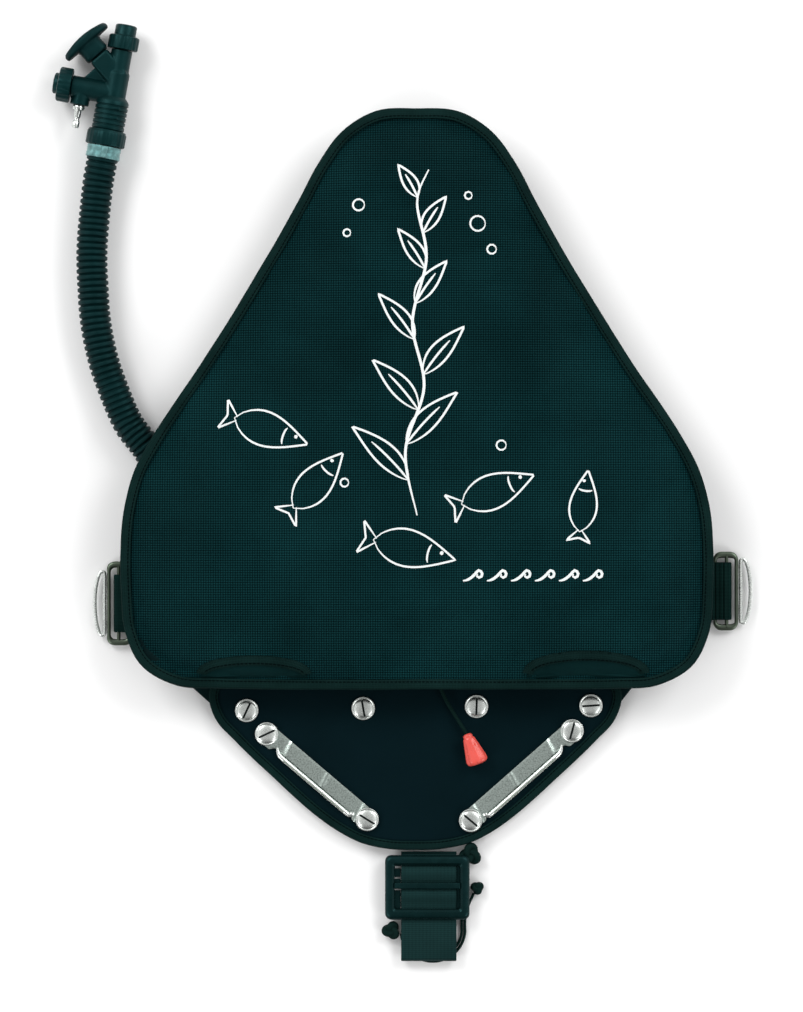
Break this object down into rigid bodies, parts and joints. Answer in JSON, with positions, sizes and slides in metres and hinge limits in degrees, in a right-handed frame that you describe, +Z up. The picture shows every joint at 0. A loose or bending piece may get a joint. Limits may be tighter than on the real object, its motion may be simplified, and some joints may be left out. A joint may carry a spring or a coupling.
{
  "type": "buoyancy compensator vest",
  "caption": "Sidemount diving buoyancy vest lying flat: triangular air wing with corrugated inflator hose, side rings, lumbar plate with steel rails and crotch strap.",
  "frame": {"origin": "on the surface the vest lies on, under the middle of the wing and on the back pad's underside", "axes": "+Z up, out of the wing's outer cover and away from the diver; +Y towards the top of the wing; +X to the right as the outer cover is looked at"},
  "size_m": [0.605, 0.8143, 0.063],
  "materials": {
    "cover_fabric": "ballistic weave, matt",
    "panel_fabric": "plain weave, matt",
    "bladder_film": "coated film",
    "binding_tape": "ribbed tape",
    "pad_foam": "mesh over foam",
    "webbing": "ribbed webbing",
    "moulded_black": "satin moulding",
    "black_rubber": "matt rubber",
    "black_steel": "black plated wire",
    "stainless": "polished",
    "lumbar_sheet": "smooth laminated sheet",
    "clamp_plastic": "grey strap",
    "red_plastic": "satin",
    "bungee": "braided cover"
  },
  "bodies": {
    "wing": {"outer_cover": "cover_fabric", "inner_cover": "panel_fabric", "air_bladder": "bladder_film", "edge_binding": "binding_tape", "arch_binding_left": "binding_tape", "arch_binding_right": "binding_tape", "back_pad": "pad_foam", "spine_plate": "moulded_black", "spine_webbing": "webbing", "lumbar_neck_strap": "webbing", "shoulder_strap_left": "webbing", "shoulder_strap_right": "webbing", "waist_strap_left": "webbing", "waist_strap_right": "webbing", "side_slider_left": "black_steel", "side_slider_right": "black_steel", "hose_port_flange": "moulded_black", "dump_valve_base": "moulded_black", "dump_valve_cap": "moulded_black", "dump_valve_spring": "stainless", "waist_buckle_frame": "stainless"},
    "inflator": {"inflator_elbow": "moulded_black", "elbow_clamp": "stainless", "corrugated_hose": "black_rubber", "hose_clamp_band": "clamp_plastic", "hose_collar": "moulded_black", "inflator_body": "moulded_black", "mouthpiece": "black_rubber", "inflate_button_cap": "moulded_black", "deflate_button_cap": "moulded_black", "quick_connect_nipple": "stainless", "inflate_spring": "stainless", "deflate_spring": "stainless"},
    "inflate_button": {"power_inflate_button": "moulded_black"},
    "vent_button": {"deflate_button": "moulded_black"},
    "left_ring": {"side_dring_left": "stainless"},
    "right_ring": {"side_dring_right": "stainless"},
    "lumbar": {"lumbar_plate": "lumbar_sheet", "lumbar_backing": "panel_fabric", "lumbar_binding": "binding_tape", "plate_screw_1": "stainless", "plate_screw_2": "stainless", "plate_screw_3": "stainless", "plate_screw_4": "stainless", "rail_left": "stainless", "rail_right": "stainless", "rail_screw_left_upper": "stainless", "rail_screw_left_lower": "stainless", "rail_screw_right_upper": "stainless", "rail_screw_right_lower": "stainless"},
    "crotch": {"crotch_strap": "webbing"},
    "crotch_slide": {"crotch_buckle": "moulded_black", "bungee_loop": "bungee", "bungee_knot_left": "bungee", "bungee_knot_right": "bungee"},
    "dump_pull": {"dump_pull_cord": "bungee", "pull_knob": "red_plastic"},
    "valve_disc": {"dump_valve_disc": "black_rubber"},
    "waist_lever": {"waist_buckle_lever": "stainless"}
  },
  "joints": [
    {"name": "elbow_swivel", "type": "hinge", "parent": "wing", "child": "inflator", "pos_m": [-0.19, -0.112, 0.0152], "axis": [0, 0, 1], "range_deg": [-15, 25]},
    {"name": "inflate_press", "type": "slide", "parent": "inflator", "child": "inflate_button", "axis": [0.9836, -0.1805, 0], "range_m": [0, 0.003], "stiffness_N_per_m": 600, "springref_m": -0.002, "deforming": ["inflate_spring"]},
    {"name": "vent_press", "type": "slide", "parent": "inflator", "child": "vent_button", "axis": [-0.1805, -0.9836, 0], "range_m": [0, 0.004], "stiffness_N_per_m": 500, "springref_m": -0.002, "deforming": ["deflate_spring"]},
    {"name": "left_ring_swing", "type": "hinge", "parent": "wing", "child": "left_ring", "pos_m": [-0.2701, -0.1763, 0.0053], "axis": [0, 1, 0], "range_deg": [-40, 90]},
    {"name": "right_ring_swing", "type": "hinge", "parent": "wing", "child": "right_ring", "pos_m": [0.2801, -0.1656, 0.0053], "axis": [0, -1, 0], "range_deg": [-40, 90]},
    {"name": "lumbar_fold", "type": "hinge", "parent": "wing", "child": "lumbar", "pos_m": [0, -0.233, 0.0076], "axis": [1, 0, 0], "range_deg": [0, 60]},
    {"name": "crotch_fold", "type": "hinge", "parent": "lumbar", "child": "crotch", "pos_m": [0.0103, -0.3905, 0.0042], "axis": [1, 0, 0], "range_deg": [-20, 75]},
    {"name": "crotch_adjust", "type": "slide", "parent": "crotch", "child": "crotch_slide", "axis": [0, 1, 0], "range_m": [-0.028, 0]},
    {"name": "dump_pull", "type": "slide", "parent": "wing", "child": "dump_pull", "axis": [0.3523, -0.9359, 0], "range_m": [0, 0.012], "stiffness_N_per_m": 150, "springref_m": -0.004},
    {"name": "valve_lift", "type": "slide", "parent": "wing", "child": "valve_disc", "axis": [0, 0, -1], "range_m": [0, 0.003], "deforming": ["dump_valve_spring"]},
    {"name": "waist_lever_turn", "type": "hinge", "parent": "wing", "child": "waist_lever", "pos_m": [-0.1, -0.1763, 0.0018], "axis": [0, -1, 0], "range_deg": [0, 85]}
  ],
  "couplings": [
    {"joint": "valve_lift", "follows": "dump_pull", "ratio": 0.25}
  ]
}
